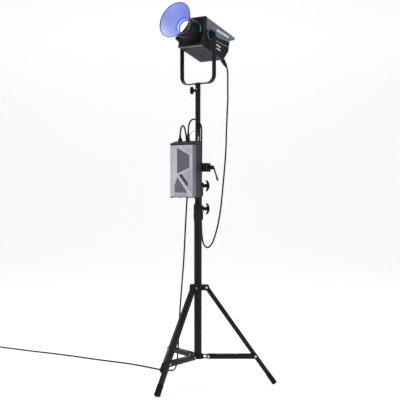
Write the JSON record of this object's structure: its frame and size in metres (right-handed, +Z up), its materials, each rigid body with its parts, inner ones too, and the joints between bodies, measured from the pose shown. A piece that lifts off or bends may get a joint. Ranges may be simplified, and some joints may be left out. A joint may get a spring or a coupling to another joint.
{
  "type": "led studio spotlight on stand",
  "caption": "Studio LED spotlight with bowl reflector in a yoke on a folding three-legged telescopic stand, with a clamp-on control box and its cables.",
  "frame": {"origin": "on the floor, under the axis of the stand's column", "axes": "+Z up along the column, +X along leg b, -Y towards the side that the lamp points to"},
  "size_m": [1.6471, 1.4991, 1.7305],
  "materials": {
    "black_metal": "satin black powder coat",
    "collar_plastic": "matt moulded glass-filled nylon",
    "knob_plastic": "matt moulded plastic",
    "steel": "zinc-plated steel",
    "rubber_foot": "matt black rubber",
    "head_dark": "fine textured charcoal coat",
    "head_grey": "satin grey coat",
    "blue_accent": "satin blue",
    "led_yellow": "phosphor coated",
    "glass_frost": "frosted glass",
    "heat_metal": "bare extruded aluminium",
    "reflector_metal": "dimpled bright inside, satin outside",
    "box_silver": "light silver coat",
    "box_dark": "dark grey-brown textured coat",
    "wire_steel": "stranded steel wire",
    "circuit_green": "solder mask",
    "display_glass": "glossy window",
    "switch_red": "red rocker",
    "cable_rubber": "satin black rubber jacket"
  },
  "bodies": {
    "column": {"lower_column": "black_metal", "brace_hub": "black_metal", "brace_hub_bolts": "steel", "lower_collar": "collar_plastic", "mains_cord_lower": "cable_rubber", "mains_coil": "cable_rubber", "wall_plug": "knob_plastic"},
    "lower_knob": {"lower_collar_knob": "knob_plastic"},
    "leg_hub": {"leg_hub": "black_metal", "leg_hub_bolts": "steel"},
    "leg_lock": {"leg_lock_knob": "knob_plastic"},
    "leg_a": {"leg_a": "black_metal", "foot_a": "rubber_foot"},
    "leg_b": {"leg_b": "black_metal", "foot_b": "rubber_foot"},
    "leg_c": {"leg_c": "black_metal", "foot_c": "rubber_foot"},
    "brace_a": {"brace_a": "black_metal"},
    "brace_b": {"brace_b": "black_metal"},
    "brace_c": {"brace_c": "black_metal"},
    "riser_1": {"riser_1": "black_metal", "upper_collar": "collar_plastic"},
    "upper_knob": {"upper_collar_knob": "knob_plastic"},
    "riser_2": {"riser_2": "black_metal", "spigot": "steel", "box_front_shell": "box_silver", "box_rear_shell": "box_dark", "box_top_cap": "box_dark", "wire_loop": "wire_steel", "clamp_frame": "black_metal", "power_board": "circuit_green", "box_display": "display_glass", "mains_plug": "knob_plastic", "box_connector": "knob_plastic", "head_cable_lower": "cable_rubber", "mains_cord_upper": "cable_rubber"},
    "clamp_jaw": {"clamp_jaw": "collar_plastic"},
    "clamp_lever": {"clamp_lever": "black_metal"},
    "power_switch": {"power_switch": "switch_red"},
    "dimmer_dial": {"dimmer_dial": "knob_plastic"},
    "yoke": {"receiver": "black_metal", "yoke": "black_metal"},
    "receiver_knob": {"receiver_knob": "knob_plastic"},
    "head": {"head_shell": "head_dark", "top_cover": "head_grey", "blue_trim": "blue_accent", "front_bezel": "head_dark", "fan_frame": "knob_plastic", "mount_ring": "black_metal", "led_module": "led_yellow", "glass_dome": "glass_frost", "heat_sink": "heat_metal", "pivot_bosses": "black_metal", "head_plug": "knob_plastic", "head_cable_upper": "cable_rubber"},
    "tilt_knob": {"tilt_knob": "knob_plastic"},
    "mount_latch": {"mount_latch": "blue_accent"},
    "fan_rotor": {"fan_rotor": "knob_plastic"},
    "reflector": {"reflector": "reflector_metal", "reflector_base": "black_metal"}
  },
  "joints": [
    {"name": "hub_slide", "type": "slide", "parent": "column", "child": "leg_hub", "axis": [0, 0, 1], "range_m": [0, 0.282], "deforming": ["head_cable_upper", "head_cable_lower", "mains_cord_upper", "mains_cord_lower"]},
    {"name": "leg_a_fold", "type": "hinge", "parent": "leg_hub", "child": "leg_a", "pos_m": [-0.02, -0.03464, 0.4437], "axis": [0.866, -0.5, 0], "range_deg": [-0.05, 29.2]},
    {"name": "leg_b_fold", "type": "hinge", "parent": "leg_hub", "child": "leg_b", "pos_m": [0.04, 0, 0.4437], "axis": [0, 1, 0], "range_deg": [-0.05, 29.2]},
    {"name": "leg_c_fold", "type": "hinge", "parent": "leg_hub", "child": "leg_c", "pos_m": [-0.02, 0.03464, 0.4437], "axis": [-0.866, -0.5, 0], "range_deg": [-0.05, 29.2]},
    {"name": "brace_a_fold", "type": "hinge", "parent": "column", "child": "brace_a", "pos_m": [-0.02445, -0.04235, 0.1275], "axis": [-0.866, 0.5, 0], "range_deg": [-0.05, 81.1]},
    {"name": "brace_b_fold", "type": "hinge", "parent": "column", "child": "brace_b", "pos_m": [0.0489, 0, 0.1275], "axis": [0, -1, 0], "range_deg": [-0.05, 81.1]},
    {"name": "brace_c_fold", "type": "hinge", "parent": "column", "child": "brace_c", "pos_m": [-0.02445, 0.04235, 0.1275], "axis": [0.866, 0.5, 0], "range_deg": [-0.05, 81.1]},
    {"name": "leg_lock_turn", "type": "hinge", "parent": "leg_hub", "child": "leg_lock", "pos_m": [0.0175, 0.03031, 0.4437], "axis": [0.5, 0.866, 0], "range_deg": [0, 540]},
    {"name": "riser_1_slide", "type": "slide", "parent": "column", "child": "riser_1", "axis": [0, 0, 1], "range_m": [-0.015, 0.54]},
    {"name": "lower_knob_turn", "type": "hinge", "parent": "column", "child": "lower_knob", "pos_m": [0.0283, 0, 0.8045], "axis": [1, 0, 0], "range_deg": [0, 540]},
    {"name": "riser_2_slide", "type": "slide", "parent": "riser_1", "child": "riser_2", "axis": [0, 0, 1], "range_m": [-0.035, 0.24]},
    {"name": "upper_knob_turn", "type": "hinge", "parent": "riser_1", "child": "upper_knob", "pos_m": [0.0277, 0, 0.91], "axis": [1, 0, 0], "range_deg": [0, 540]},
    {"name": "pan_swivel", "type": "hinge", "parent": "riser_2", "child": "yoke", "pos_m": [0, 0, 1.35], "axis": [0, 0, 1], "range_deg": [-170, 170]},
    {"name": "receiver_knob_turn", "type": "hinge", "parent": "yoke", "child": "receiver_knob", "pos_m": [-0.0158, 0, 1.347], "axis": [-1, 0, 0], "range_deg": [0, 540]},
    {"name": "head_tilt", "type": "hinge", "parent": "yoke", "child": "head", "pos_m": [0, 0, 1.5973], "axis": [0.7905, -0.6125, 0], "range_deg": [-73, 107]},
    {"name": "tilt_knob_turn", "type": "hinge", "parent": "head", "child": "tilt_knob", "pos_m": [-0.083, 0.06431, 1.5973], "axis": [-0.7905, 0.6125, 0], "range_deg": [0, 540]},
    {"name": "reflector_twist", "type": "hinge", "parent": "head", "child": "reflector", "pos_m": [-0.03516, -0.04538, 1.61474], "axis": [-0.586, -0.7563, 0.2907], "range_deg": [0, 18]},
    {"name": "mount_latch_turn", "type": "hinge", "parent": "head", "child": "mount_latch", "pos_m": [-0.0293, -0.03782, 1.61183], "axis": [-0.586, -0.7563, 0.2907], "range_deg": [0, 10], "stiffness_Nm_per_rad": 0.1, "springref_deg": -11.46},
    {"name": "fan_spin", "type": "hinge", "parent": "head", "child": "fan_rotor", "pos_m": [0.05743, 0.07412, 1.56881], "axis": [-0.586, -0.7563, 0.2907], "continuous": true},
    {"name": "clamp_screw", "type": "hinge", "parent": "riser_2", "child": "clamp_lever", "pos_m": [0.06495, -0.0375, 0.993], "axis": [0.866, -0.5, 0], "range_deg": [0, 1800]},
    {"name": "clamp_jaw_slide", "type": "slide", "parent": "riser_2", "child": "clamp_jaw", "axis": [0.866, -0.5, 0], "range_m": [0, 0.0063]},
    {"name": "power_switch_rock", "type": "hinge", "parent": "riser_2", "child": "power_switch", "pos_m": [-0.0933, -0.0116, 0.9113], "axis": [0.5, 0.866, 0], "range_deg": [0, 12]},
    {"name": "dimmer_turn", "type": "hinge", "parent": "riser_2", "child": "dimmer_dial", "pos_m": [-0.09518, -0.01086, 0.97], "axis": [-0.866, 0.5, 0], "continuous": true}
  ],
  "couplings": [
    {"joint": "leg_a_fold", "follows": "hub_slide", "rad_per_m": 1.8004},
    {"joint": "leg_b_fold", "follows": "hub_slide", "rad_per_m": 1.8004},
    {"joint": "leg_c_fold", "follows": "hub_slide", "rad_per_m": 1.8004},
    {"joint": "brace_a_fold", "follows": "hub_slide", "rad_per_m": 5.0132},
    {"joint": "brace_b_fold", "follows": "hub_slide", "rad_per_m": 5.0132},
    {"joint": "brace_c_fold", "follows": "hub_slide", "rad_per_m": 5.0132},
    {"joint": "clamp_jaw_slide", "follows": "clamp_screw", "m_per_rad": 0.00019894}
  ]
}
